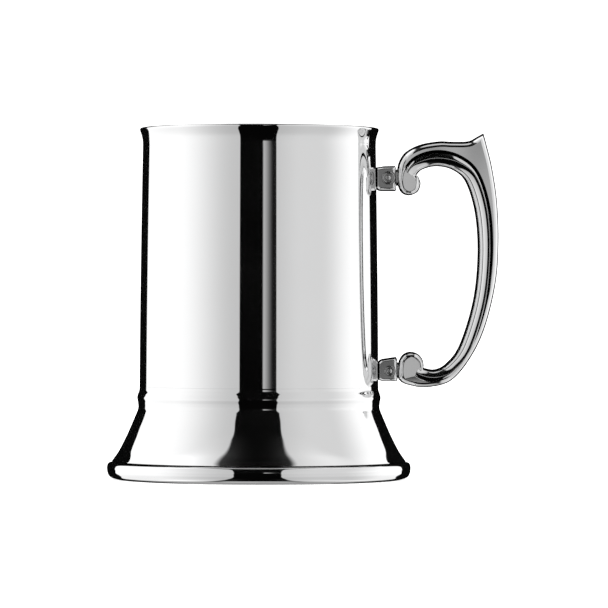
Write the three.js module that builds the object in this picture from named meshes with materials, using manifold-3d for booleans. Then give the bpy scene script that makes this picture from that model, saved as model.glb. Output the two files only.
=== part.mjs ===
// A straight-sided pewter tankard with a flared foot and a cast scroll handle, in millimetres.
// +Z is up, the handle is on +X, and the origin is where the body's axis meets the table.
// The pieces are soldered or pinned together, and every joint keeps a small fitting gap.

import * as THREE from 'three';
import { mergeVertices } from 'three/addons/utils/BufferGeometryUtils.js';
import Module from 'manifold-3d';

const wasm = await Module();
wasm.setup();

// ---- driving dimensions ----

const HEIGHT = 120;
const GAP = 0.3; // fitting gap between neighbouring pieces
const AROUND = 48; // facets around each turned piece

// barrel: a spun cup, joggled inwards where the foot mouldings sit on it
const WALL = 1.1;
const LIP_RADIUS = 40.87;
const LIP_THICKNESS = 1.5;
const LIP_EDGE = 0.7; // height of the lip's rounded edge
const FLARE_Z = 117.2; // where the mouth's two tangents meet, so how suddenly the lip flares
const MOUTH_RADIUS = 39.86;
const MOUTH_Z = 114;
const WALL_BOW = { radius: 40.65, z: 70 }; // the wall tapers along a curve that leans to this
const WALL_FOOT_RADIUS = 40.88;
const WALL_FOOT_Z = 31.6;
const JOGGLE_RADIUS = 39.8;
const JOGGLE_RISE = 2;
const FLOOR_Z = 9.4;
const FLOOR_CORNER = 4;

// waist bead, flared skirt and foot ring
const BEAD_RADIUS = 41.67;
const BEAD_Z = 27.8;
const BEAD_SPREAD = 1.5;
const NECK_RADIUS = 41.3;
const NECK_Z = 24.5;
const SKIRT_FOOT_RADIUS = 50.4;
const SKIRT_FOOT_Z = 6;
const SKIRT_THICKNESS = 1.1;
const SKIRT_SWEEP = { radius: 45.8, z: 12.5 }; // the skirt's curve leans to this
const FOOT_RADIUS = 51.97;
const FOOT_HEIGHT = 5.7;
const FOOT_ROLL = 2.2; // how far in its rounded outside starts on the underside
const FOOT_INNER_RADIUS = 45.5;
const PLATE_RADIUS = 47;
const PLATE_THICKNESS = 1;
const PLATE_RECESS = 0.5;

// handle: a bar and an outer strap with a thin web between them, and a scroll at each end
const BAR_DEPTH = 4.7;
const BAR_WIDTH = 7.2;
const STRAP_DEPTH = 1.8;
const STRAP_WIDTH = 8;
const WEB_WIDTH = 4.4;
const SCROLL_RECESS = 0.6;
const SCROLL_RIM = 1.3;
const UPPER_SCROLL = { x: 51.3, z: 101.1, radius: 3.85 };
const LOWER_SCROLL = { x: 52.1, z: 39.15, radius: 4.15 };

// lugs: cast sockets on the barrel that take the handle's tenons, each held by a cross pin
const LUG_WIDTH = 8.4;
const LUG_ROUNDING = 0.9;
const UPPER_LUG = {
  pinX: 44, pinZ: 103.1, outerX: 46.8, tenonHeight: 6, rosetteRadius: 2.3,
  neckLow: 100.3, neckHigh: 105.8, cheekX: 43, outerLow: 98.6, outerHigh: 107.2,
};
const LOWER_LUG = {
  pinX: 44.6, pinZ: 37, outerX: 47.3, tenonHeight: 5, rosetteRadius: 1.75,
  neckLow: 34.9, neckHigh: 40, cheekX: 43, outerLow: 33.4, outerHigh: 41.8,
};
const TENON_WIDTH = 4;
const TENON_X = 41.8;
const PIN_RADIUS = 0.9;
const PIN_FACETS = 20;
const ROSETTE_DEPTH = 1.1;
const ROSETTE_SINK = 0.5;
const ROSETTE_CHAMFER = 0.4;

// ---- helpers ----

function material(colour, roughness) {
  return new THREE.MeshStandardMaterial({ color: colour, roughness, metalness: 1 });
}

// A solid for cutting and joining, made from a closed geometry.
function toSolid(geometry) {
  const bare = geometry.clone();
  bare.deleteAttribute('normal');
  bare.deleteAttribute('uv');
  const merged = mergeVertices(bare);
  return new wasm.Manifold(new wasm.Mesh({
    numProp: 3,
    vertProperties: merged.attributes.position.array,
    triVerts: merged.index.array,
  }));
}

function toGeometry(solid) {
  const mesh = solid.getMesh();
  const geometry = new THREE.BufferGeometry();
  geometry.setAttribute('position', new THREE.BufferAttribute(mesh.vertProperties, 3));
  geometry.setIndex(new THREE.BufferAttribute(mesh.triVerts, 1));
  geometry.computeVertexNormals();
  return geometry;
}

// Turns a path of (radius, z) points about the Z axis, in the direction that faces outwards.
function turned(path, curveSteps, facets = AROUND) {
  const points = path.getPoints(curveSteps);
  if (THREE.ShapeUtils.isClockWise(points)) points.reverse();
  return new THREE.LatheGeometry(points, facets).rotateX(Math.PI / 2);
}

// Extrudes an outline in (x, z) evenly to both sides of the Y = 0 plane, with rounded edges.
function plate(shape, width, bevel = 0, bevelSteps = 2) {
  const geometry = new THREE.ExtrudeGeometry(shape, {
    depth: width - 2 * bevel,
    bevelEnabled: bevel > 0,
    bevelThickness: bevel,
    bevelSize: bevel,
    bevelOffset: -bevel,
    bevelSegments: bevelSteps,
    curveSegments: 8,
  });
  geometry.translate(0, 0, bevel - width / 2);
  return geometry.rotateX(Math.PI / 2);
}

// A round bar along Y through (x, z).
function crossBar(x, z, radius, length, facets = PIN_FACETS) {
  return new THREE.CylinderGeometry(radius, radius, length, facets).translate(x, 0, z);
}

function block(x0, x1, width, z0, z1) {
  const geometry = new THREE.BoxGeometry(x1 - x0, width, z1 - z0);
  return geometry.translate((x0 + x1) / 2, 0, (z0 + z1) / 2);
}

// A strip of even thickness along one side of a curve: to the left of its direction of travel.
function strip(curve, thickness, steps) {
  const edge = [];
  const offset = [];
  for (let i = 0; i <= steps; i += 1) {
    const t = i / steps;
    const point = curve.getPointAt(t);
    const along = curve.getTangentAt(t);
    edge.push(point);
    offset.push(new THREE.Vector2(point.x - along.y * thickness, point.y + along.x * thickness));
  }
  return new THREE.Shape([...edge, ...offset.reverse()]);
}

function disc(x, z, radius) {
  const shape = new THREE.Shape();
  shape.absarc(x, z, radius, 0, 2 * Math.PI);
  return shape;
}

function spline(points) {
  return new THREE.SplineCurve(points.map(([x, z]) => new THREE.Vector2(x, z)));
}

// ---- the body ----

// Continues a path along the barrel's wall to its foot or its mouth, this far outside its surface.
function followWall(path, offset, toMouth) {
  const [radius, z] = toMouth ? [MOUTH_RADIUS, MOUTH_Z] : [WALL_FOOT_RADIUS, WALL_FOOT_Z];
  path.quadraticCurveTo(WALL_BOW.radius + offset, WALL_BOW.z, radius + offset, z);
}

function barrel() {
  const cup = new THREE.Path();
  const innerFoot = JOGGLE_RADIUS - WALL;
  const underside = FLOOR_Z - WALL;
  const lipZ = HEIGHT - LIP_EDGE;
  cup.moveTo(0, FLOOR_Z);
  cup.lineTo(innerFoot - FLOOR_CORNER, FLOOR_Z);
  cup.quadraticCurveTo(innerFoot, FLOOR_Z, innerFoot, FLOOR_Z + FLOOR_CORNER);
  cup.lineTo(innerFoot, WALL_FOOT_Z - JOGGLE_RISE);
  cup.lineTo(WALL_FOOT_RADIUS - WALL, WALL_FOOT_Z);
  followWall(cup, -WALL, true);
  cup.quadraticCurveTo(MOUTH_RADIUS - WALL, FLARE_Z, LIP_RADIUS - LIP_THICKNESS, lipZ);
  cup.quadraticCurveTo(LIP_RADIUS - LIP_THICKNESS / 2, HEIGHT + LIP_EDGE, LIP_RADIUS, lipZ);
  cup.quadraticCurveTo(MOUTH_RADIUS, FLARE_Z, MOUTH_RADIUS, MOUTH_Z);
  followWall(cup, 0, false);
  cup.lineTo(JOGGLE_RADIUS, WALL_FOOT_Z);
  cup.lineTo(JOGGLE_RADIUS, underside + FLOOR_CORNER);
  cup.quadraticCurveTo(JOGGLE_RADIUS, underside, innerFoot - FLOOR_CORNER, underside);
  cup.lineTo(0, underside);
  return turned(cup, 4);
}

// The barrel's straight outside, one fitting gap larger: the shape that a lug's seat is cut to.
function barrelEnvelope() {
  const profile = new THREE.Path();
  profile.moveTo(0, WALL_FOOT_Z);
  profile.lineTo(WALL_FOOT_RADIUS + GAP, WALL_FOOT_Z);
  followWall(profile, GAP, true);
  profile.lineTo(0, MOUTH_Z);
  return turned(profile, 4);
}

function waistBead() {
  const inner = JOGGLE_RADIUS + GAP;
  const top = WALL_FOOT_Z - GAP;
  const bottom = NECK_Z + GAP;
  const ring = new THREE.Path();
  ring.moveTo(inner, bottom);
  ring.lineTo(NECK_RADIUS, bottom);
  ring.quadraticCurveTo(NECK_RADIUS, BEAD_Z - BEAD_SPREAD, BEAD_RADIUS, BEAD_Z);
  ring.quadraticCurveTo(WALL_FOOT_RADIUS, BEAD_Z + BEAD_SPREAD, WALL_FOOT_RADIUS, top);
  ring.lineTo(inner, top);
  ring.lineTo(inner, bottom);
  return turned(ring, 4);
}

function skirt() {
  const foot = SKIRT_FOOT_Z;
  const { radius, z } = SKIRT_SWEEP;
  const inside = 1.2 * SKIRT_THICKNESS; // the wall leans, so it is wider across than it is thick
  const ring = new THREE.Path();
  ring.moveTo(SKIRT_FOOT_RADIUS - inside, foot);
  ring.lineTo(SKIRT_FOOT_RADIUS, foot);
  ring.quadraticCurveTo(radius, z, NECK_RADIUS, NECK_Z);
  ring.lineTo(NECK_RADIUS - SKIRT_THICKNESS, NECK_Z);
  ring.quadraticCurveTo(radius - inside, z, SKIRT_FOOT_RADIUS - inside, foot);
  return turned(ring, 8);
}

// The foot ring carries the skirt on its top face and the base plate in a rebate underneath.
function footRing() {
  const rebateRadius = PLATE_RADIUS + GAP;
  const rebateZ = PLATE_RECESS + PLATE_THICKNESS + GAP;
  const widestZ = 0.55 * FOOT_HEIGHT;
  const ring = new THREE.Path();
  ring.moveTo(rebateRadius, 0);
  ring.lineTo(FOOT_RADIUS - FOOT_ROLL, 0);
  ring.quadraticCurveTo(FOOT_RADIUS, 0, FOOT_RADIUS, widestZ);
  ring.quadraticCurveTo(FOOT_RADIUS, FOOT_HEIGHT, FOOT_RADIUS - FOOT_ROLL / 2, FOOT_HEIGHT);
  ring.lineTo(FOOT_INNER_RADIUS, FOOT_HEIGHT);
  ring.lineTo(FOOT_INNER_RADIUS, rebateZ);
  ring.lineTo(rebateRadius, rebateZ);
  ring.lineTo(rebateRadius, 0);
  return turned(ring, 4);
}

function basePlate() {
  const top = PLATE_RECESS + PLATE_THICKNESS;
  const profile = new THREE.Path();
  profile.moveTo(0, PLATE_RECESS);
  profile.lineTo(PLATE_RADIUS, PLATE_RECESS);
  profile.lineTo(PLATE_RADIUS, top);
  profile.lineTo(0, top);
  return turned(profile, 1);
}

// ---- the handle ----

const backEdge = spline([
  [48, 38.4], [47.7, 35.6], [49, 33.2], [52, 31.9], [57.4, 31.2], [65.7, 33.4], [72.4, 40.9], [77.5, 51.6],
  [81.3, 66.9], [82.2, 80.8], [81.7, 94.8], [79.9, 106.6], [76.8, 118.5],
]);
const topEdge = spline([
  [76.8, 118.5], [75.2, 118], [71.6, 116], [61.5, 116], [55.2, 114.9], [50.4, 112.4],
  [48.1, 109.2], [47.3, 105.6], [47.5, 101.5],
]);
const gripEdge = spline([
  [53.4, 103.6], [55.6, 106], [60.8, 107.3], [66.5, 106], [70.8, 101.8], [74, 91],
  [74.9, 76.7], [73.3, 60.9], [68.7, 45.8], [64.1, 39.5], [60.3, 37.5], [56.9, 38],
  [54.6, 38.8],
]);

function scroll({ x, z, radius }) {
  const boss = toSolid(plate(disc(x, z, radius), STRAP_WIDTH, 0.5));
  const dishY = (STRAP_WIDTH - SCROLL_RECESS) / 2;
  const dish = crossBar(x, z, radius - SCROLL_RIM, SCROLL_RECESS, 24);
  const front = toSolid(dish.clone().translate(0, -dishY, 0));
  const back = toSolid(dish.translate(0, dishY, 0));
  return { boss, dishes: front.add(back) };
}

function tenon({ pinX, pinZ, tenonHeight }, scrollX) {
  const tongue = block(TENON_X, scrollX, TENON_WIDTH, pinZ - tenonHeight / 2, pinZ + tenonHeight / 2);
  return toSolid(tongue).subtract(toSolid(crossBar(pinX, pinZ, PIN_RADIUS + GAP, LUG_WIDTH)));
}

function handle() {
  const webOutline = new THREE.Shape([
    ...backEdge.getSpacedPoints(26),
    ...topEdge.getSpacedPoints(16).slice(1),
    ...gripEdge.getSpacedPoints(30),
  ]);
  const upper = scroll(UPPER_SCROLL);
  const lower = scroll(LOWER_SCROLL);
  const solid = toSolid(plate(webOutline, WEB_WIDTH))
    .add(toSolid(plate(strip(backEdge, STRAP_DEPTH, 26), STRAP_WIDTH, 0.5, 1)))
    .add(toSolid(plate(strip(topEdge, STRAP_DEPTH, 16), STRAP_WIDTH, 0.5, 1)))
    .add(toSolid(plate(strip(gripEdge, BAR_DEPTH, 30), BAR_WIDTH, 1.8, 3)))
    .add(upper.boss)
    .add(lower.boss)
    .subtract(upper.dishes)
    .subtract(lower.dishes)
    .add(tenon(UPPER_LUG, UPPER_SCROLL.x))
    .add(tenon(LOWER_LUG, LOWER_SCROLL.x));
  return toGeometry(solid);
}

// ---- the lugs and their pins ----

// Each lug swells from a neck at the barrel to a taller block at the handle.
function lug(size) {
  const { pinX, pinZ, outerX, tenonHeight, rosetteRadius } = size;
  const { neckLow, neckHigh, cheekX, outerLow, outerHigh } = size;
  const neckX = WALL_FOOT_RADIUS;
  const insideBarrelX = neckX - 2;
  const shape = new THREE.Shape();
  shape.moveTo(insideBarrelX, neckLow);
  shape.lineTo(neckX, neckLow);
  shape.quadraticCurveTo(neckX, outerLow, cheekX, outerLow);
  shape.lineTo(outerX, outerLow);
  shape.lineTo(outerX, outerHigh);
  shape.lineTo(cheekX, outerHigh);
  shape.quadraticCurveTo(neckX, outerHigh, neckX, neckHigh);
  shape.lineTo(insideBarrelX, neckHigh);
  const socket = block(
    TENON_X - GAP, outerX + GAP, TENON_WIDTH + 2 * GAP,
    pinZ - tenonHeight / 2 - GAP, pinZ + tenonHeight / 2 + GAP,
  );
  const pocketY = (LUG_WIDTH - ROSETTE_SINK) / 2;
  const pocket = crossBar(pinX, pinZ, rosetteRadius + GAP, ROSETTE_SINK, 24);
  const solid = toSolid(plate(shape, LUG_WIDTH, LUG_ROUNDING))
    .subtract(toSolid(barrelEnvelope()))
    .subtract(toSolid(socket))
    .subtract(toSolid(crossBar(pinX, pinZ, PIN_RADIUS + GAP, LUG_WIDTH)))
    .subtract(toSolid(pocket.clone().translate(0, -pocketY, 0)))
    .subtract(toSolid(pocket.translate(0, pocketY, 0)));
  return toGeometry(solid);
}

function crossPin({ pinX, pinZ }) {
  const proud = ROSETTE_DEPTH - ROSETTE_SINK + ROSETTE_CHAMFER;
  const length = LUG_WIDTH + 2 * proud;
  return crossBar(pinX, pinZ, PIN_RADIUS, length);
}

// A rosette is the raised collar around each end of a cross pin; side is -1 (front) or 1 (back).
function rosette({ pinX, pinZ, rosetteRadius }, side) {
  const inner = PIN_RADIUS + GAP;
  const ring = new THREE.Path();
  ring.moveTo(inner, 0);
  ring.lineTo(rosetteRadius, 0);
  ring.lineTo(rosetteRadius, ROSETTE_DEPTH - ROSETTE_CHAMFER);
  ring.lineTo(rosetteRadius - ROSETTE_CHAMFER, ROSETTE_DEPTH);
  ring.lineTo(inner, ROSETTE_DEPTH);
  ring.lineTo(inner, 0);
  return turned(ring, 1, 24)
    .rotateX(-side * Math.PI / 2)
    .translate(pinX, side * (LUG_WIDTH / 2 - ROSETTE_SINK + GAP), pinZ);
}

// ---- assembly ----

const tankard = new THREE.Group();

function place(name, geometry, finish) {
  const mesh = new THREE.Mesh(geometry, finish);
  mesh.name = name;
  tankard.add(mesh);
}

const polished = () => material(0xd4d5d6, 0.05);
const satin = () => material(0xc2c3c4, 0.28);

place('barrel', barrel(), polished());
place('waist_bead', waistBead(), polished());
place('flared_skirt', skirt(), polished());
place('foot_ring', footRing(), polished());
place('base_plate', basePlate(), satin());
place('scroll_handle', handle(), polished());
place('upper_lug', lug(UPPER_LUG), polished());
place('lower_lug', lug(LOWER_LUG), polished());
for (const [level, size] of [['upper', UPPER_LUG], ['lower', LOWER_LUG]]) {
  place(`${level}_cross_pin`, crossPin(size), satin());
  place(`${level}_rosette_front`, rosette(size, -1), polished());
  place(`${level}_rosette_back`, rosette(size, 1), polished());
}

export default tankard;
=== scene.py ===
import math

import bmesh
import bpy
from mathutils import Matrix, Vector


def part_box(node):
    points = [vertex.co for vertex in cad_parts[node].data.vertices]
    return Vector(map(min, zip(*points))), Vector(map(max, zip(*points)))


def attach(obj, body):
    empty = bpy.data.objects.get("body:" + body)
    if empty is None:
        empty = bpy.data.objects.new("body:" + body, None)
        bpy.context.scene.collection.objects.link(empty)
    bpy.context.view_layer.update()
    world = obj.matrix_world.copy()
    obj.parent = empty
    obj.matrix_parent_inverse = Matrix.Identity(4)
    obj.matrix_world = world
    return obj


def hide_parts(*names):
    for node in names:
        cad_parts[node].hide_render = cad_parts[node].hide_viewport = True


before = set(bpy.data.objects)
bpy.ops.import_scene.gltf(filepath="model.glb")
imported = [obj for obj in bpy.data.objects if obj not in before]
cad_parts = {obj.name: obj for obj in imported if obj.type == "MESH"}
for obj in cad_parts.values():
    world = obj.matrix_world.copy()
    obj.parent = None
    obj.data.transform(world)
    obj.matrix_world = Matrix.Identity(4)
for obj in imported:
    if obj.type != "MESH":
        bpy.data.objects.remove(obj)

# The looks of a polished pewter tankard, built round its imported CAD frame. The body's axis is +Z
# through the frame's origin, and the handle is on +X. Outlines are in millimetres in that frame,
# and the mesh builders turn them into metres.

MM = 0.001
SHARP = math.radians(35)  # edges that turn by more than this are shaded sharp
PIN_RADIUS = 1
CAMERA_TURN = math.radians(-2.2)  # the camera's place round the Z axis from straight in front
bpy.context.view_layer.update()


def corners(node):
    """A CAD node's lowest and highest corner, in millimetres."""
    low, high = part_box(node)
    return low / MM, high / MM


# ---- outlines and curves ----

def spline(points, steps):
    """A Catmull-Rom curve through the points, which may have any number of coordinates."""
    points = [Vector(p) for p in points]
    last = len(points) - 1
    out = []
    for i in range(last):
        before, start = points[max(i - 1, 0)], points[i]
        end, after = points[i + 1], points[min(i + 2, last)]
        slope_in, slope_out = (end - before) / 2, (after - start) / 2
        for j in range(steps):
            t = j / steps
            out.append(
                start * (2 * t**3 - 3 * t**2 + 1) + end * (3 * t**2 - 2 * t**3)
                + slope_in * (t**3 - 2 * t**2 + t) + slope_out * (t**3 - t**2)
            )
    return out + [points[last]]


def arc(centre, radius, start, end, steps):
    """Points on a circle from one angle to another, in degrees."""
    out = []
    for i in range(steps + 1):
        angle = math.radians(start + (end - start) * i / steps)
        out.append((centre[0] + radius * math.cos(angle), centre[1] + radius * math.sin(angle)))
    return out


def flat(*stretches):
    """Joins stretches of outline into one list of (x, y) pairs."""
    return [tuple(p)[:2] for stretch in stretches for p in stretch]


def spaced(points, spacing):
    """The same polyline with its points evenly spaced."""
    lengths = [0.0]
    for a, b in zip(points, points[1:]):
        lengths.append(lengths[-1] + (b - a).length)
    count = max(2, round(lengths[-1] / spacing))
    out, k = [], 0
    for i in range(count + 1):
        want = lengths[-1] * i / count
        while k < len(points) - 2 and lengths[k + 1] < want:
            k += 1
        span = lengths[k + 1] - lengths[k]
        share = 0 if span == 0 else (want - lengths[k]) / span
        out.append(points[k].lerp(points[k + 1], min(share, 1)))
    return out


# ---- meshes ----

def new_piece(name, mesh_builder, node, materials):
    """A finished piece: mesh, shading, materials, the body it rides on and the node it replaces."""
    mesh = bpy.data.meshes.new(name)
    mesh_builder.to_mesh(mesh)
    mesh_builder.free()
    piece = bpy.data.objects.new(name, mesh)
    bpy.context.scene.collection.objects.link(piece)
    mesh.polygons.foreach_set("use_smooth", [True] * len(mesh.polygons))
    mesh.set_sharp_from_angle(angle=SHARP)
    for entry in materials:
        mesh.materials.append(entry)
    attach(piece, "root")
    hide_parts(node)
    return piece


def cleaned(builder):
    """Merges doubled points and turns every face outwards."""
    bmesh.ops.remove_doubles(builder, verts=builder.verts, dist=1e-7)
    bmesh.ops.recalc_face_normals(builder, faces=builder.faces)
    return builder


def turned(outline, around=256):
    """A closed outline of (radius, z) turned about the Z axis."""
    builder = bmesh.new()
    rings = []
    for radius, z in outline:
        if radius < 1e-6:
            rings.append([builder.verts.new((0, 0, z * MM))])
            continue
        ring = []
        for i in range(around):
            angle = 2 * math.pi * i / around
            ring.append(builder.verts.new(
                (radius * MM * math.cos(angle), radius * MM * math.sin(angle), z * MM)))
        rings.append(ring)
    on_axis = len(rings[0]) == 1
    pairs = list(zip(rings, rings[1:])) + ([] if on_axis else [(rings[-1], rings[0])])
    for lower, upper in pairs:
        for i in range(around):
            j = (i + 1) % around
            corner = [lower[i % len(lower)], lower[j % len(lower)],
                      upper[j % len(upper)], upper[i % len(upper)]]
            corner = list(dict.fromkeys(corner))
            if len(corner) > 2:
                builder.faces.new(corner)
    return cleaned(builder)


def swept(stations, section):
    """A closed section carried along stations in the XZ plane.

    A station is (point, inward, depth): inward is the unit direction across the path, and
    section(depth, steepness) lists (millimetres inward, y). Steepness is 1 where inward is
    straight up, and -1 where it is straight down.
    """
    builder = bmesh.new()
    rings = []
    for point, inward, depth in stations:
        ring = []
        for across, y in section(depth, inward.y):
            at = point + inward * across
            ring.append(builder.verts.new((at.x * MM, y * MM, at.y * MM)))
        rings.append(ring)
    count = len(rings[0])
    for a, b in zip(rings, rings[1:]):
        for i in range(count):
            j = (i + 1) % count
            builder.faces.new((a[i], a[j], b[j], b[i]))
    builder.faces.new(rings[0])
    builder.faces.new(list(reversed(rings[-1])))
    bmesh.ops.recalc_face_normals(builder, faces=builder.faces)
    return builder


def slab(outline, width):
    """An outline in (x, z) given an even width in Y."""
    builder = bmesh.new()
    sides = []
    for y in (-width / 2, width / 2):
        sides.append([builder.verts.new((x * MM, y * MM, z * MM)) for x, z in outline])
    front, back = sides
    builder.faces.new(front)
    builder.faces.new(list(reversed(back)))
    for i in range(len(outline)):
        j = (i + 1) % len(outline)
        builder.faces.new((front[i], front[j], back[j], back[i]))
    bmesh.ops.recalc_face_normals(builder, faces=builder.faces)
    return builder


def pillow(outline, edge, layers):
    """A plate whose faces fall away towards the edge of an outline in (x, z).

    Each layer is (scale of the outline about its middle, half width in Y), from the edge inwards.
    """
    builder = bmesh.new()
    middle = sum((Vector(p) for p in outline), Vector((0, 0))) / len(outline)
    rings = []
    plateau = (layers[-1][0] - 0.02, layers[-1][1])
    front = [(1, edge)] + layers + [plateau]
    for scale, y in [(s, -y) for s, y in reversed(front)] + front:
        ring = [middle + (Vector(p) - middle) * scale for p in outline]
        rings.append([builder.verts.new((p.x * MM, y * MM, p.y * MM)) for p in ring])
    for a, b in zip(rings, rings[1:]):
        for i in range(len(outline)):
            j = (i + 1) % len(outline)
            builder.faces.new((a[i], a[j], b[j], b[i]))
    builder.faces.new(rings[0])
    builder.faces.new(list(reversed(rings[-1])))
    bmesh.ops.recalc_face_normals(builder, faces=builder.faces)
    return builder


def on_pin(builder, x, z, side):
    """Turns something made about the Z axis to stand on a cross pin; side is -1 (front) or 1."""
    turn = Matrix.Rotation(-side * math.pi / 2, 4, "X")
    move = Matrix.Translation((x * MM, 0, z * MM))
    bmesh.ops.transform(builder, matrix=move @ turn, verts=builder.verts)
    return builder


def pin_hole(pin):
    """A cutter for a cross pin's hole, right through a lug."""
    reach = 5
    outline = [(0, -reach), (PIN_RADIUS, -reach), (PIN_RADIUS, reach), (0, reach)]
    return on_pin(turned(outline, 32), pin.x, pin.z, 1)


def block(x0, x1, width, z0, z1):
    """A plain box of even width in Y."""
    return slab([(x0, z0), (x1, z0), (x1, z1), (x0, z1)], width)


def carved(piece, cutters):
    """Cuts each of the cutters out of a piece."""
    for number, builder in enumerate(cutters):
        mesh = bpy.data.meshes.new(f"cutter_{number}")
        builder.to_mesh(mesh)
        builder.free()
        cutter = bpy.data.objects.new(mesh.name, mesh)
        bpy.context.scene.collection.objects.link(cutter)
        cut = piece.modifiers.new("cut", "BOOLEAN")
        cut.operation = "DIFFERENCE"
        cut.solver = "EXACT"
        cut.object = cutter
        result = bpy.data.meshes.new_from_object(
            piece.evaluated_get(bpy.context.evaluated_depsgraph_get()))
        piece.modifiers.clear()
        piece.data = result
        bpy.data.objects.remove(cutter)
    piece.data.polygons.foreach_set("use_smooth", [True] * len(piece.data.polygons))
    piece.data.set_sharp_from_angle(angle=SHARP)


# ---- materials ----

class Nodes:
    """A short way to write a node tree."""

    def __init__(self, tree):
        self.tree = tree

    def add(self, kind, inputs=None, **settings):
        node = self.tree.nodes.new(kind)
        for key, value in settings.items():
            setattr(node, key, value)
        for key, value in (inputs or {}).items():
            if isinstance(value, bpy.types.NodeSocket):
                self.tree.links.new(value, node.inputs[key])
            else:
                node.inputs[key].default_value = value
        return node

    def math(self, operation, a, b=0.0, c=0.0):
        return self.add("ShaderNodeMath", {0: a, 1: b, 2: c}, operation=operation).outputs[0]

    def step(self, value, low, high):
        """0 below low, 1 above high, smooth between."""
        node = self.add("ShaderNodeMapRange", {0: value, 1: low, 2: high}, clamp=True)
        node.interpolation_type = "SMOOTHSTEP"
        return node.outputs[0]

    def ramp(self, value, stops):
        node = self.add("ShaderNodeValToRGB", {0: value})
        elements = node.color_ramp.elements
        while len(elements) < len(stops):
            elements.new(1.0)
        for element, (at, grey) in zip(elements, stops):
            element.position = at
            element.color = (grey, grey, grey, 1)
        return node.outputs[0]


def pewter(name, tone, roughness, polish_lines, dents):
    """Polished pewter: fine buffing lines, faint cloudiness in the shine and slow waviness."""
    material = bpy.data.materials.new(name)
    material.use_nodes = True
    nodes = Nodes(material.node_tree)
    shader = material.node_tree.nodes["Principled BSDF"]
    shader.inputs["Metallic"].default_value = 1
    place = nodes.add("ShaderNodeTexCoord").outputs["Object"]
    cloud = nodes.add("ShaderNodeTexNoise", {"Vector": place, "Scale": 60, "Detail": 3}).outputs[0]
    lines = nodes.add("ShaderNodeMapping", {"Vector": place, "Scale": (90, 90, 2600)}).outputs[0]
    buffing = nodes.add("ShaderNodeTexNoise", {"Vector": lines, "Scale": 1, "Detail": 2}).outputs[0]
    colour = nodes.add("ShaderNodeMix", {0: cloud}, data_type="RGBA")
    colour.inputs[6].default_value = (tone, tone * 1.003, tone * 1.008, 1)
    colour.inputs[7].default_value = (tone * 0.975, tone * 0.975, tone * 0.975, 1)
    shine = nodes.add("ShaderNodeMapRange", {
        0: cloud, 1: 0.3, 2: 0.7, 3: roughness * 0.7, 4: roughness * 1.3})
    waves = nodes.add("ShaderNodeTexNoise", {"Vector": place, "Scale": 45, "Detail": 0}).outputs[0]
    fine = nodes.add("ShaderNodeBump", {"Height": buffing, "Strength": 1, "Distance": polish_lines * MM})
    broad = nodes.add("ShaderNodeBump", {"Height": waves, "Strength": 1, "Distance": dents * MM,
                                         "Normal": fine.outputs[0]})
    links = material.node_tree.links
    links.new(colour.outputs[2], shader.inputs["Base Color"])
    links.new(shine.outputs[0], shader.inputs["Roughness"])
    links.new(broad.outputs[0], shader.inputs["Normal"])
    return material


# name, tone, roughness, depth of the polishing lines and of the waviness in millimetres
MIRROR = pewter("mirror_pewter", 0.93, 0.035, 0.00002, 0.0006)
CASTING = pewter("cast_pewter", 0.95, 0.04, 0.00002, 0.06)
# the lug pewter is much darker than the rest: painted shade for the lugs' recessed side panels and the
# rosettes and tenons set in them
PAINTED_SHADE_PEWTER = pewter("lug_pewter_painted_shade", 0.42, 0.1, 0.00002, 0.15)
WEB = pewter("web_pewter", 0.95, 0.06, 0.00002, 0.6)
SATIN = pewter("satin_pewter", 0.78, 0.3, 0.0006, 0.0003)
INSIDE = pewter("spun_inside", 0.86, 0.16, 0.0003, 0.001)


# ---- the body ----

TOP = corners("barrel")[1].z
WALL_FOOT_RADIUS = corners("barrel")[1].x
BEAD_HIGH = corners("waist_bead")[1]
SKIRT_HIGH = corners("flared_skirt")[1]
FOOT_HIGH = corners("foot_ring")[1]
PLATE_LOW, PLATE_HIGH = corners("base_plate")
FLOOR_UNDER = corners("barrel")[0].z
WALL = 1.1
SKIRT_WALL = 1.3
MOUTH_Z = TOP - 6  # where the wall starts to turn out into the lip
JOGGLE = 1.08  # how far the barrel steps in, inside the bead
WALL_FOOT_Z = BEAD_HIGH.z + 0.28
JOINT_Z = SKIRT_HIGH.z + 0.14  # between bead and skirt


def wall_radius(z):
    """The barrel's outside between its foot and its mouth: a slight taper that bellies a little."""
    share = (z - WALL_FOOT_Z) / (MOUTH_Z - WALL_FOOT_Z)
    return WALL_FOOT_RADIUS - 1.02 * share + 0.5 * share * (1 - share)


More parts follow.
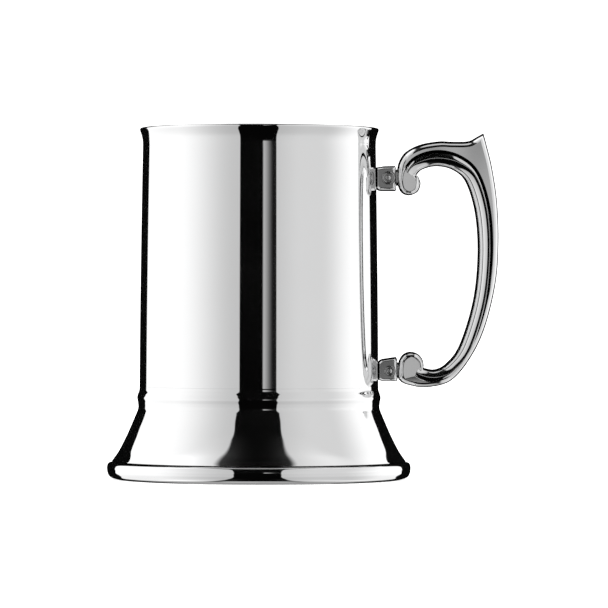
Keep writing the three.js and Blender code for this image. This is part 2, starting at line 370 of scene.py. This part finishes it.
def barrel():
    """The cup: its wall, everted lip, and the rounded floor inside."""
    mouth = wall_radius(MOUTH_Z)
    lip = spline([
        (mouth, MOUTH_Z), (mouth + 0.07, MOUTH_Z + 1.5), (40.08, MOUTH_Z + 2.6),
        (40.36, MOUTH_Z + 3.7), (40.7, MOUTH_Z + 4.7), (40.84, MOUTH_Z + 5.15),
    ], 4)
    brim = arc((40.3, TOP - 0.62), 0.6, 12, 168, 12)
    throat = spline([(39.72, TOP - 0.9), (39.1, TOP - 2.8), (38.78, MOUTH_Z - 1)], 8)
    steps = 30
    zs = [WALL_FOOT_Z + (MOUTH_Z - WALL_FOOT_Z) * i / steps for i in range(steps)]
    outside = [(wall_radius(z), z) for z in zs]
    inside = [(wall_radius(z) - WALL, z) for z in reversed(zs[:-1])]
    joggled = WALL_FOOT_RADIUS - JOGGLE
    inner = joggled - WALL
    corner = 4.2
    step_in = [(inner + 0.55, WALL_FOOT_Z - 1), (inner, WALL_FOOT_Z - 2.4)]
    dish = arc((inner - corner, FLOOR_UNDER + WALL + corner), corner, 0, -90, 12)
    under = arc((inner - corner, FLOOR_UNDER + WALL + corner), corner + WALL, -90, 0, 12)
    outline = flat(
        [(0, FLOOR_UNDER)], under, [(joggled, WALL_FOOT_Z - 0.06), (WALL_FOOT_RADIUS, WALL_FOOT_Z)],
        outside[1:], lip, brim, throat, inside, step_in, dish, [(0, FLOOR_UNDER + WALL)],
    )
    piece = new_piece("barrel", turned(outline), "barrel", [MIRROR, INSIDE])
    for face in piece.data.polygons:
        centre = face.center / MM
        is_inside = face.normal.xy.dot(centre.xy) < 0.1 and face.normal.z > -0.5
        face.material_index = int(is_inside and centre.z < TOP - 2)


def foot_curve():
    """The visible outside of the bead and skirt, from the barrel down to the foot ring."""
    bead = BEAD_HIGH.x
    wall = WALL_FOOT_RADIUS + 0.02
    neck = WALL_FOOT_RADIUS + 0.42
    foot = SKIRT_HIGH.x
    return spline([
        (wall, WALL_FOOT_Z - 0.02), (wall, WALL_FOOT_Z - 0.7), (wall + 0.09, WALL_FOOT_Z - 1.4),
        (bead - 0.28, 29.1), (bead, 27.8), (bead - 0.26, 26.2), (neck, 24.4), (neck + 0.46, 22.9),
        (43.1, 19.7), (45.25, 14.8), (47.9, 9.6), (foot - 0.12, 6.15),
    ], 12)


def bead_and_skirt():
    """Two rings that share one outside curve."""
    curve = foot_curve()
    above = [p for p in curve if p.y > JOINT_Z]
    below = [p for p in curve if p.y < JOINT_Z]
    joint = above[-1].lerp(below[0], (above[-1].y - JOINT_Z) / (above[-1].y - below[0].y))
    back = BEAD_HIGH.x - 1.8
    ring = flat(above, [joint, (back, JOINT_Z), (back, WALL_FOOT_Z - 0.1)])
    new_piece("waist_bead", turned(ring), "waist_bead", [MIRROR])
    skirt = [joint - Vector((0, 0.004))] + below
    lining = [(p.x - SKIRT_WALL, p.y) for p in reversed(skirt)]
    new_piece("flared_skirt", turned(flat(skirt, lining)), "flared_skirt",
              [MIRROR])


def foot_ring():
    """The rounded band at the foot, with a rebate inside for the base plate."""
    outer = FOOT_HIGH.x
    top = FOOT_HIGH.z
    band = spline([
        (outer - 3.2, 0), (outer - 1.1, 0.75), (outer - 0.25, 2), (outer - 0.03, 3.2),
        (outer, 4.2), (outer - 0.35, 5.3), (outer - 1.2, top), (outer - 2, top - 0.25),
    ], 8)
    ledge = PLATE_HIGH.z + 0.1
    rebate = PLATE_HIGH.x + 0.08
    outline = flat(band, [(45.5, top - 0.25), (45.5, ledge), (rebate, ledge), (rebate, 0)])
    new_piece("foot_ring", turned(outline), "foot_ring", [MIRROR])


def base_plate():
    """A disc with two shallow spun steps on its underside."""
    low, high, edge = PLATE_LOW.z, PLATE_HIGH.z, PLATE_HIGH.x
    outline = [(0, low), (edge * 0.3, low), (edge * 0.31, low + 0.12), (edge * 0.33, low + 0.12),
               (edge * 0.34, low), (edge * 0.8, low), (edge * 0.81, low + 0.15),
               (edge * 0.84, low + 0.15), (edge * 0.85, low), (edge - 0.15, low), (edge, low + 0.15),
               (edge, high), (0, high)]
    new_piece("base_plate", turned(outline), "base_plate", [SATIN])


# ---- the handle ----

HALF_STRAP = corners("scroll_handle")[1].y
HALF_BAR = HALF_STRAP - 0.1
HALF_WEB = HALF_STRAP - 0.5
GROOVE = 1.15  # width of the groove between bar and web
BAR_DEPTH = 4.2  # the bar's usual depth, which each station varies a little
SPUR = Vector((76.8, corners("scroll_handle")[1].z))

# (x, z, depth inward) along the strap's outer edge, from the inside of the lower scroll to the spur
LOWER_STRAP = [
    (55.7, 36.6, 0.4), (56.3, 38.2, 0.9), (56.1, 40.6, 1.2), (54.6, 42.7, 1.5),
    (52.1, 43.6, 1.7), (49.6, 42.8, 1.5), (48.1, 40.6, 1.2), (47.7, 37.8, 1.1), (47.6, 35.4, 1.2),
    (48.5, 33.5, 1.4), (51.2, 32.2, 1.5), (57.4, 31.4, 1.6), (65.6, 33.6, 1.6), (72.2, 41.1, 1.7),
    (77.3, 51.7, 1.7), (81, 66.9, 1.7), (82, 80.8, 1.7), (81.5, 94.8, 1.7), (79.8, 106.5, 1.7),
    (77.9, 114.4, 1.8), (SPUR.x, SPUR.y, 1.8),
]
# the same from the spur back over the top and round the upper scroll to its inside
UPPER_STRAP = [
    (SPUR.x, SPUR.y, 1.9), (74.9, 117.5, 1.9), (71.6, 115.8, 2), (66, 115.6, 2), (61.5, 115.7, 2),
    (55.2, 114.6, 2), (50.4, 112.2, 2), (48.1, 109.1, 1.9), (47.3, 105.6, 1.7), (47.4, 101.6, 1.4),
    (48.7, 98.3, 1.3), (51.4, 97.2, 1.2), (54.2, 98.4, 1.4), (55.2, 101, 1.6), (54.7, 102.9, 1.2),
    (54, 104, 0.4),
]
# (x, z, depth outward) along the bar's grip edge, from the upper scroll to the lower one
BAR = [
    (53.2, 103.1, 3.8), (55.6, 105.9, 4.1), (60.8, 107.2, 4.3), (66.5, 105.9, 4.3), (70.8, 101.7, 4.3),
    (74, 91, 4.2), (74.9, 76.7, 4), (73.3, 60.9, 4), (68.7, 45.9, 4.1), (64.1, 39.6, 4.3),
    (60.3, 37.6, 4.4), (56.9, 38, 4.3), (54.8, 38.8, 3.9),
]


def stations(points, spacing=0.5):
    """Sweep stations along a spline of (x, z, depth), with inward on the left of the path."""
    path = spaced(spline(points, 24), spacing)
    out = []
    for i, here in enumerate(path):
        ahead = path[min(i + 1, len(path) - 1)] - path[max(i - 1, 0)]
        along = ahead.xy.normalized()
        out.append((here.xy, Vector((-along.y, along.x)), here.z))
    return out


def mirrored(half):
    """A whole section from its half with y above 0."""
    return half + [(u, -y) for u, y in reversed(half)]


def shoulder(edge, radius, crest, tilts):
    """An arc that rises to a crest, as (depth, y) for each tilt away from facing sideways."""
    out = []
    for tilt in tilts:
        tilt = math.radians(tilt)
        out.append((edge - radius * math.sin(tilt), crest - radius * (1 - math.cos(tilt))))
    return out


def flank(chamfer, rise, top):
    """A steep edge below the point top, with a second point close to it to keep the shading crisp."""
    return [(0, top[1] - rise * chamfer), (0.85 * chamfer, top[1] - 0.15 * rise * chamfer)]


def strap_section(depth, steepness):
    """A strap with a steep back edge, and a round shoulder that still leans at its inner edge.

    Its back edge is wider where the strap lies level, and its crest sinks where it gets thin.
    """
    start, lean = 58, 20
    chamfer = min(0.42 + 0.4 * abs(steepness), depth / 3)
    crest = HALF_STRAP - 0.9 * max(0, 1 - depth)
    low_sine = math.sin(math.radians(lean))
    radius = (depth - chamfer) / (math.sin(math.radians(start)) - low_sine)
    arc_crest = crest + radius * (1 - math.cos(math.radians(lean)))
    round_part = shoulder(depth + radius * low_sine, radius, arc_crest, range(start, lean - 1, -3))
    edge = flank(chamfer, 2.9, round_part[0])
    return mirrored(edge + round_part + [(depth + 0.12, crest - 1.1)])


def bar_section(depth, steepness):
    """A bar, half round towards the grip, that falls steeply to a groove beside the web.

    Where it arches over, a gentler slope comes before the steep one.
    """
    start = 52
    nose = 0.8 - 0.35 * max(0, steepness)
    slope = 1.5 * steepness ** 2
    radius = (depth - nose - slope) / math.sin(math.radians(start))
    round_part = shoulder(depth - slope, radius, HALF_BAR, range(start, -1, -4))
    edge = flank(nose, 2.7, round_part[0])
    far_side = [(depth - slope * 0.5, HALF_BAR - slope * 0.15), (depth, HALF_BAR - slope * 0.42)]
    return mirrored(edge + round_part + far_side + [(depth + GROOVE, HALF_BAR - 3.2)])


def strap():
    """One ribbon from scroll to scroll, mitred at the spur."""
    clear = 2.8  # the neighbouring stations keep this far from the mitre
    lower = [s for s in stations(LOWER_STRAP) if (s[0] - SPUR).length > clear]
    upper = [s for s in stations(UPPER_STRAP) if (s[0] - SPUR).length > clear]
    bisector = (lower[-1][0] + upper[0][0]) / 2 - SPUR
    half_angle = bisector.angle(lower[-1][0] - SPUR)
    mitre = (SPUR, bisector.normalized() / math.sin(half_angle), lower[-1][2])
    builder = swept(lower + [mitre] + upper, strap_section)
    new_piece("handle_strap", builder, "scroll_handle", [CASTING])


def bar():
    """The round inner rail that the hand closes on."""
    builder = swept(stations(BAR), bar_section)
    new_piece("handle_bar", builder, "scroll_handle", [CASTING])


def web():
    """The thin plate between strap and bar: a long one under the spur, a short one at the foot."""
    def within(points, share):
        return [p + inward * depth * share for p, inward, depth in stations(points, 0.8)]

    under_strap = 0.6  # the web's edge lies this far under the strap
    spur_side = within(LOWER_STRAP[15:], under_strap)[:-2] + within(UPPER_STRAP[:-8], under_strap)[2:]
    spur_side += within(BAR[:8], 1 + GROOVE / BAR_DEPTH)
    foot_side = within(LOWER_STRAP[9:13], under_strap) + within(BAR[-4:], 1)
    for name, outline in (("handle_web", spur_side), ("handle_foot_web", foot_side)):
        builder = slab([(p.x, p.y) for p in outline], 2 * HALF_WEB)
        new_piece(name, builder, "scroll_handle", [WEB])


def scroll_faces():
    """The flat face inside each scroll, which falls away a little at its edge."""
    upper = [(48.5, 101.8), (49.2, 98.9), (51.4, 97.7), (53.8, 98.8), (54.5, 101.2), (53.2, 103.4),
             (51.9, 105.6), (50.2, 107), (48.9, 105), (48.5, 101.8)]
    lower = [(48.7, 38), (49.4, 41), (52.1, 42.7), (54.8, 41.2), (55.7, 38.4), (54.3, 35.6),
             (52.3, 33.4), (49.9, 33.2), (48.8, 35.2), (48.7, 38)]
    for name, points in (("upper", upper), ("lower", lower)):
        outline = flat(spline(points, 6)[:-1])
        edge, layers = HALF_WEB - 0.4, [(0.92, HALF_WEB - 0.28), (0.82, HALF_WEB - 0.2)]
        new_piece(f"{name}_scroll_face", pillow(outline, edge, layers), "scroll_handle",
                  [CASTING])


def tenon(name, tip_x, scroll_x, pin):
    """The tongue from a scroll into its lug, with the pin's hole."""
    bottom, top = pin.z - 2.6, pin.z + 2.9
    outline = [(tip_x, bottom), (scroll_x, bottom), (scroll_x, top), (tip_x, top)]
    # the tenon takes the darker pewter, painted shade inside the lug's slot
    piece = new_piece(name, pillow(outline, 1.2, [(0.6, 1.9)]), "scroll_handle",
                      [PAINTED_SHADE_PEWTER])
    carved(piece, [pin_hole(pin)])


# ---- the lugs ----

def lug_block(node, pin, neck_half, cheek_x, rise, pocket, sink):
    """A cast block, rounded where it meets the barrel, with a recessed panel on each side."""
    low, high = corners(node)
    half, top = high.y, high.z
    outline = flat(
        spline([(low.x, pin.z - neck_half), (low.x + 0.9, low.z + 0.2), (cheek_x, low.z)], 5),
        [(high.x - 0.3, low.z), (high.x, low.z + 0.4), (high.x, top - 1), (high.x - 0.4, top)],
        spline([(cheek_x, top - rise), (low.x + 0.9, top - rise - 0.3), (low.x, pin.z + neck_half)], 5),
    )
    layers = [(0.89, half - 0.45), (0.85, half - 0.15), (0.8, half), (0.77, half - 0.05),
              (0.75, half - 0.2)]
    piece = new_piece(node, pillow(outline, half - 1.8, layers), node,
                      [CASTING, PAINTED_SHADE_PEWTER])

    def against_wall(z):
        return (wall_radius(z) + 0.03, z)

    wall_low, wall_high = 32, 112
    barrel_side = [(0, wall_low - 2), (against_wall(wall_low)[0], wall_low - 2)]
    barrel_side += [against_wall(z) for z in (wall_low, 60, 90, wall_high)] + [(0, wall_high)]
    slot_for_tenon = block(low.x + 1.2, high.x + 1, 4.1, pin.z - 2.7, pin.z + 3)
    cutters = [turned(barrel_side), slot_for_tenon, pin_hole(pin)]
    well = [(0, half - sink), (pocket, half - sink), (pocket, half + 1), (0, half + 1)]
    for side in (-1, 1):
        cutters.append(on_pin(turned(well, 64), pin.x, pin.z, side))
    carved(piece, cutters)
    for face in piece.data.polygons:
        # the flat side faces, the recessed panels, take the darker pewter: painted shade
        face.material_index = int(abs(face.normal.y) > 0.95)


def lug(level, neck_half, cheek_x, rise, ring_radius, groove):
    """One of the handle's two sockets: the block, its tenon, its pin and a ring on each side.

    rise is how much higher the block's top is at the handle's end than at the cheek.
    """
    low, high = corners(f"{level}_lug")
    pin_low, pin_high = corners(f"{level}_cross_pin")
    pin = (pin_low + pin_high) / 2
    sink = 0.5
    lug_block(f"{level}_lug", pin, neck_half, cheek_x, rise, ring_radius + groove, sink)

    floor_y = high.y - sink + 0.02
    ring_y = high.y + 0.12
    tube = ring_radius * 0.2
    crest = ring_radius - tube
    bore = PIN_RADIUS + 0.02
    rosette = flat(
        [(bore, floor_y), (ring_radius, floor_y), (ring_radius, ring_y - tube)],
        arc((crest, ring_y - tube), tube, 0, 180, 8),
        [(crest - tube - 0.1, ring_y - 1.3 * tube), (bore, ring_y - 1.5 * tube)],
    )
    for side, place in ((-1, "front"), (1, "back")):
        name = f"{level}_rosette_{place}"
        # the rosettes take the darker pewter, painted shade in the lug's pockets
        new_piece(name, on_pin(turned(rosette, 64), pin.x, pin.z, side), name,
                  [PAINTED_SHADE_PEWTER])

    end, dome = ring_y - 0.8 * tube, 0.3
    shaft = []
    for angle in (90, 70, 50, 30, 12):
        tilt = math.radians(angle)
        shaft.append(((PIN_RADIUS - 0.02) * math.sin(tilt), end - dome + dome * math.cos(tilt)))
    outline = [(0, -end)] + [(r, -y) for r, y in reversed(shaft)] + shaft + [(0, end)]
    new_piece(f"{level}_cross_pin", on_pin(turned(outline, 48), pin.x, pin.z, 1),
              f"{level}_cross_pin", [SATIN])
    tenon(f"{level}_tenon", low.x + 1.3, high.x + 2.5, pin)


# ---- floor, light and camera ----

def studio():
    """White all round for the camera; for reflections, a light tent round a dark gap in front.

    Angles are measured from straight ahead of the camera, positive to its right. The tent leans
    in over the object, so a high reflection counts as one further forward.
    """
    world = bpy.data.worlds.new("studio")
    bpy.context.scene.world = world
    world.use_nodes = True
    tree = world.node_tree
    tree.nodes.clear()
    nodes = Nodes(tree)
    towards = nodes.add("ShaderNodeTexCoord").outputs["Generated"]
    in_camera_frame = nodes.add("ShaderNodeVectorRotate", {"Vector": towards, "Angle": -CAMERA_TURN},
                                rotation_type="Z_AXIS").outputs[0]
    x, y, z = nodes.add("ShaderNodeSeparateXYZ", {0: in_camera_frame}).outputs
    height = nodes.math("ABSOLUTE", z)
    below = nodes.math("MULTIPLY", z, -1)
    high = nodes.step(height, 0.68, 0.84)
    lean = nodes.math("MULTIPLY_ADD", nodes.math("SIGN", x), 0.11, 0.39)
    ahead = nodes.math("SUBTRACT", nodes.math("MULTIPLY", lean, height), y)
    angle = nodes.math("DEGREES", nodes.math("ARCTAN2", x, ahead))

    # the tent is dimmest in front and brightest at its sides, by one rise on the left and by two
    # on the right, and behind it is a bit dimmer again
    front = 0.58
    left = nodes.math("MULTIPLY_ADD", nodes.step(nodes.math("MULTIPLY", angle, -1), 18, 86), 0.53, front)
    near_right = nodes.math("MULTIPLY_ADD", nodes.step(angle, 8, 42), 0.12, left)
    right = nodes.math("MULTIPLY_ADD", nodes.step(angle, 61, 108), 0.41, near_right)
    behind = nodes.step(nodes.math("ABSOLUTE", angle), 127, 180)
    tent = nodes.math("MULTIPLY_ADD", behind, -0.15, right)

    # the gap between its two front edges, which spread a little and soften higher up
    softness = nodes.math("MULTIPLY_ADD", high, 0.03, 0.006)
    left_edge = nodes.math("MULTIPLY_ADD", high, -0.06, -0.309)
    right_edge = nodes.math("MULTIPLY_ADD", high, 0.02, 0.295)
    past_left = nodes.math("DIVIDE", nodes.math("SUBTRACT", left_edge, x), softness)
    past_right = nodes.math("DIVIDE", nodes.math("SUBTRACT", x, right_edge), softness)
    outside_gap = nodes.step(nodes.math("MAXIMUM", past_left, past_right), -1, 1)

    # light from straight above or below, and from the table behind; downwards it is a bit dimmer
    overhead = nodes.step(height, 0.955, 0.975)
    behind_and_below = nodes.math("MULTIPLY", nodes.step(below, 0.15, 0.35), nodes.step(y, 0, 0.2))
    table = nodes.math("MULTIPLY", behind_and_below, 0.4)
    lit = nodes.math("MAXIMUM", outside_gap, nodes.math("MAXIMUM", overhead, table))
    downward = nodes.math("MULTIPLY_ADD", nodes.step(below, 0.1, 0.5), -0.14, 1)
    lights = nodes.math("MULTIPLY", tent, nodes.math("MULTIPLY", lit, downward))

    # a grey card in the gap, brightest at its left edge and nearly black at its right
    fade = nodes.math("MULTIPLY_ADD", nodes.step(angle, 3, 14), -0.5, 0.508)
    card = nodes.math("MULTIPLY", fade, nodes.step(angle, 3.4, 5.1))
    near_level = nodes.math("SUBTRACT", nodes.step(z, -0.04, -0.03), nodes.step(z, 0.14, 0.18))

    # a little stray light, more of it high up at the sides
    sideways = nodes.math("POWER", nodes.math("ABSOLUTE", x), 3)
    stray = nodes.math("MULTIPLY_ADD", sideways, high, 0.0015)
    dim = nodes.math("MULTIPLY_ADD", card, near_level, stray)
    reflected = nodes.add("ShaderNodeBackground", {"Color": nodes.math("ADD", lights, dim)})
    plain = nodes.add("ShaderNodeBackground", {"Color": (1, 1, 1, 1), "Strength": 1.6})
    is_glossy = nodes.add("ShaderNodeLightPath").outputs["Is Glossy Ray"]
    mix = nodes.add("ShaderNodeMixShader", {0: is_glossy, 1: plain.outputs[0], 2: reflected.outputs[0]})
    nodes.add("ShaderNodeOutputWorld", {0: mix.outputs[0]})


def stage_object(name, builder, material_name, shades, noise, specular):
    """A matt object of the studio, with a faint grain between two shades."""
    mesh = bpy.data.meshes.new(name)
    builder.to_mesh(mesh)
    builder.free()
    thing = bpy.data.objects.new(name, mesh)
    bpy.context.scene.collection.objects.link(thing)
    material = bpy.data.materials.new(material_name)
    material.use_nodes = True
    nodes = Nodes(material.node_tree)
    shader = material.node_tree.nodes["Principled BSDF"]
    shader.inputs["Roughness"].default_value = 1
    shader.inputs["Specular IOR Level"].default_value = specular
    grain = nodes.add("ShaderNodeTexNoise", noise).outputs[0]
    shade = nodes.ramp(grain, [(0.3, shades[0]), (0.7, shades[1])])
    material.node_tree.links.new(shade, shader.inputs["Base Color"])
    mesh.materials.append(material)
    return thing, shader, shade


def dark_flag():
    """A black board behind the tankard, seen only in reflections, that edges it in black."""
    half_width, away, top, bottom = 397, 396, 600, -210
    outline = [(-half_width, bottom), (half_width, bottom), (half_width, top), (-half_width, top)]
    builder = bmesh.new()
    builder.faces.new([builder.verts.new((x * MM, away * MM, z * MM)) for x, z in outline])
    bmesh.ops.rotate(builder, matrix=Matrix.Rotation(CAMERA_TURN, 3, "Z"), verts=builder.verts)
    board = stage_object("dark_flag", builder, "black_cloth", (0.001, 0.002), {"Scale": 300}, 0)[0]
    board.visible_camera = False
    board.visible_diffuse = False
    board.visible_shadow = False
    board.visible_transmission = False


def floor():
    """A pale floor that fades into the white background, and that reflections don't show."""
    builder = bmesh.new()
    bmesh.ops.create_grid(builder, x_segments=2, y_segments=2, size=4)
    grain = {"Scale": 40, "Detail": 2}
    ground, shader, shade = stage_object("floor", builder, "floor_paper", (0.96, 0.975), grain, 0.5)
    ground.location.z = -0.05 * MM
    ground.visible_glossy = False
    shader.id_data.links.new(shade, shader.inputs["Emission Color"])
    shader.inputs["Emission Strength"].default_value = 0.5


def camera():
    """Level, straight on to the handle's plane, from far enough away to flatten the perspective."""
    data = bpy.data.cameras.new("camera")
    data.sensor_width = 36
    data.lens = 255.2
    data.clip_end = 100
    eye = bpy.data.objects.new("camera", data)
    bpy.context.scene.collection.objects.link(eye)
    across, away, up = 0.01537, 1.476, 0.05987  # metres from the frame's origin
    roll = math.radians(-0.1)
    cosine, sine = math.cos(CAMERA_TURN), math.sin(CAMERA_TURN)
    eye.location = (across * cosine + away * sine, across * sine - away * cosine, up)
    eye.rotation_euler = (math.pi / 2, roll, CAMERA_TURN)
    bpy.context.scene.camera = eye


camera()
floor()
dark_flag()
studio()
barrel()
bead_and_skirt()
foot_ring()
base_plate()
strap()
bar()
web()
scroll_faces()
lug("upper", neck_half=3.6, cheek_x=42.6, rise=0.1, ring_radius=2.3, groove=0.3)
lug("lower", neck_half=3.1, cheek_x=42.8, rise=0.6, ring_radius=1.9, groove=0.1)

bpy.context.scene.view_settings.view_transform = "Standard"

bpy.context.view_layer.update()
